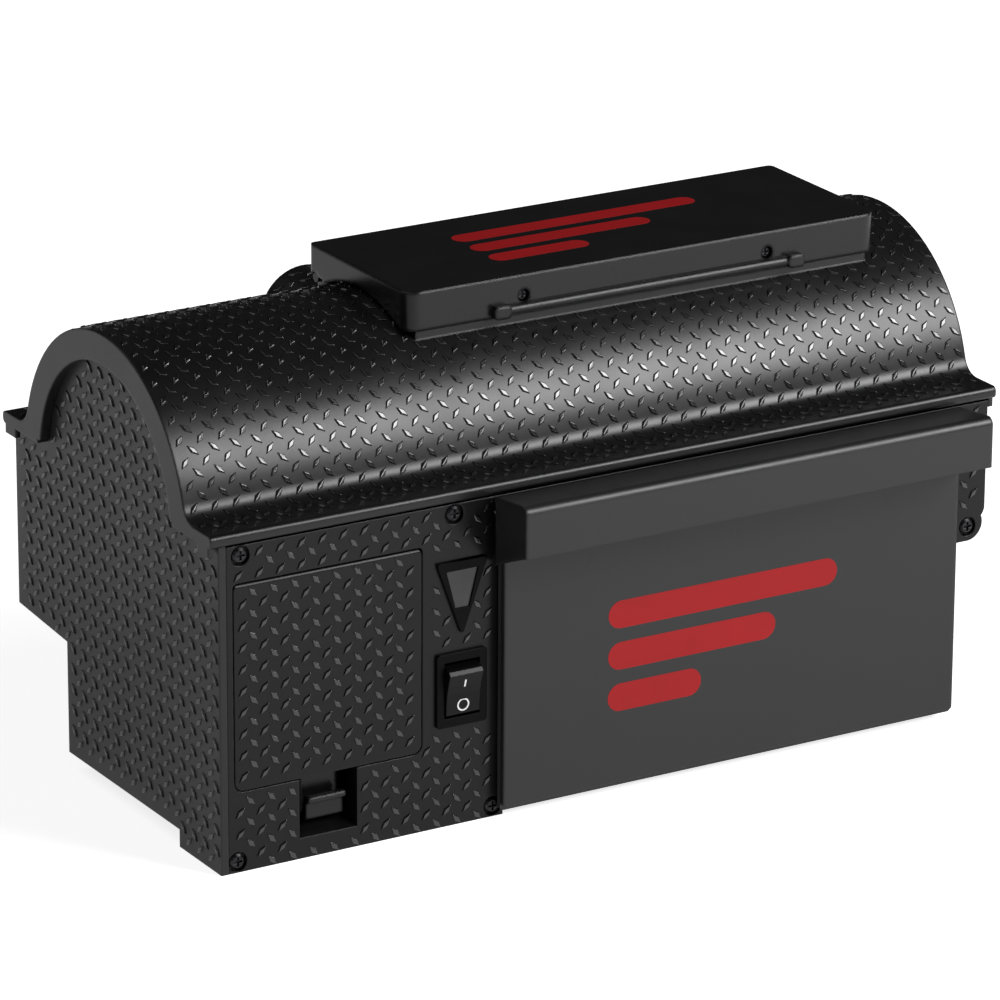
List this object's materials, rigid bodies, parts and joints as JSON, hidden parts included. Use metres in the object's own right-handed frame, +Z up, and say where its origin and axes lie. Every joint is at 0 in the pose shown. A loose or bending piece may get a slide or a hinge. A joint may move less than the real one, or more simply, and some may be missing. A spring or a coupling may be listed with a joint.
{
  "type": "bait station",
  "caption": "Electronic rodent bait station: barrel-topped black box with a hinged bait lid, turning chamber, entry stairs, battery door, rocker switch and pull-out drawer.",
  "frame": {"origin": "centre of the bounding box on the floor plane, under the housing", "axes": "+X along the length to the right as seen from the front, +Y towards the back, +Z up; the drawer and battery door face -Y"},
  "size_m": [0.2476, 0.137, 0.1405],
  "materials": {
    "housing_plastic": "moulded black ABS, satin, diamond-tread relief",
    "smooth_black": "moulded black ABS, fine satin",
    "inner_plastic": "plain moulded black plastic",
    "chamber_plastic": "light grey insulating plastic",
    "black_steel": "black oxide",
    "foot_rubber": "matte",
    "smoked_lens": "smoked, satin",
    "led_red": "clear red epoxy",
    "switch_black": "nylon, slight sheen",
    "button_red": "nylon",
    "brass_parts": "bright",
    "board_green": "solder mask",
    "chip_black": "moulded",
    "coil_yellow": "taped winding and ferrite",
    "capacitor_blue": "shrink sleeve",
    "cell_jacket": "printed jacket, plain",
    "plated_steel": "nickel plated",
    "gear_nylon": "natural nylon",
    "bait_cup_red": "glossy"
  },
  "bodies": {
    "housing": {"base_housing": "housing_plastic", "front_panel": "housing_plastic", "top_cover": "housing_plastic", "entry_stairs": "inner_plastic", "chamber_frame": "inner_plastic", "front_screws": "black_steel", "cover_screws": "black_steel", "rubber_feet": "foot_rubber", "indicator_frame": "switch_black", "indicator_lens": "smoked_lens", "indicator_led": "led_red", "switch_body": "switch_black", "switch_terminals": "brass_parts", "circuit_board": "board_green", "board_parts": "chip_black", "hv_transformer": "coil_yellow", "hv_capacitor": "capacitor_blue", "dc_jack": "switch_black", "battery_case": "inner_plastic", "battery_cells": "cell_jacket", "battery_springs": "plated_steel", "battery_contacts": "plated_steel", "gear_motor": "plated_steel", "idler_pin": "plated_steel", "chamber_bushes": "brass_parts", "brush_holder": "inner_plastic", "contact_brushes": "brass_parts", "lid_switch": "switch_black", "drawer_switch": "switch_black"},
    "rocker": {"switch_rocker": "switch_black"},
    "battery_door": {"battery_door": "housing_plastic", "door_contacts": "plated_steel"},
    "battery_latch": {"battery_latch": "smooth_black"},
    "chamber": {"chamber_trough": "chamber_plastic", "chamber_gear": "gear_nylon", "electrode_plates": "plated_steel", "bait_cup": "bait_cup_red", "slip_rings": "brass_parts"},
    "idler": {"idler_gear": "gear_nylon"},
    "pinion": {"motor_pinion": "gear_nylon"},
    "lid": {"bait_lid": "smooth_black", "lid_liner": "chamber_plastic", "lid_pull": "smooth_black", "lid_screws": "black_steel", "lid_hinge_pins": "plated_steel"},
    "lid_button": {"lid_switch_plunger": "button_red"},
    "drawer": {"drawer_tray": "smooth_black", "drawer_front": "smooth_black", "drawer_screws": "black_steel"},
    "drawer_button": {"drawer_switch_plunger": "button_red"}
  },
  "joints": [
    {"name": "lid_hinge", "type": "hinge", "parent": "housing", "child": "lid", "pos_m": [0.0302, 0.0328, 0.1315], "axis": [-1, 0, 0], "range_deg": [0, 100]},
    {"name": "drawer_slide", "type": "slide", "parent": "housing", "child": "drawer", "axis": [0, -1, 0], "range_m": [0, 0.08]},
    {"name": "rocker_tilt", "type": "hinge", "parent": "housing", "child": "rocker", "pos_m": [-0.0478, -0.047, 0.0394], "axis": [-1, 0, 0], "range_deg": [0, 20]},
    {"name": "battery_door_swing", "type": "hinge", "parent": "housing", "child": "battery_door", "pos_m": [-0.0881, -0.0488, 0.0798], "axis": [-1, 0, 0], "range_deg": [0, 75]},
    {"name": "battery_latch_flex", "type": "hinge", "parent": "battery_door", "child": "battery_latch", "pos_m": [-0.08845, -0.044, 0.022], "axis": [1, 0, 0], "range_deg": [0, 8], "stiffness_Nm_per_rad": 0.05},
    {"name": "chamber_turn", "type": "hinge", "parent": "housing", "child": "chamber", "pos_m": [0.0272, 0.0085, 0.107], "axis": [1, 0, 0], "continuous": true},
    {"name": "idler_turn", "type": "hinge", "parent": "housing", "child": "idler", "pos_m": [-0.0473, -0.01907, 0.10214], "axis": [1, 0, 0], "continuous": true},
    {"name": "pinion_turn", "type": "hinge", "parent": "housing", "child": "pinion", "pos_m": [-0.0473, -0.02102, 0.08827], "axis": [1, 0, 0], "continuous": true},
    {"name": "lid_button_rise", "type": "slide", "parent": "housing", "child": "lid_button", "axis": [0, 0, 1], "range_m": [0, 0.0015]},
    {"name": "drawer_button_rise", "type": "slide", "parent": "housing", "child": "drawer_button", "axis": [0, -1, 0], "range_m": [0, 0.0015]}
  ],
  "couplings": [
    {"joint": "idler_turn", "follows": "chamber_turn", "ratio": -2.5},
    {"joint": "pinion_turn", "follows": "chamber_turn", "ratio": 3.3333},
    {"joint": "lid_button_rise", "follows": "lid_hinge", "m_per_rad": 0.00085},
    {"joint": "drawer_button_rise", "follows": "drawer_slide", "ratio": 0.018}
  ]
}
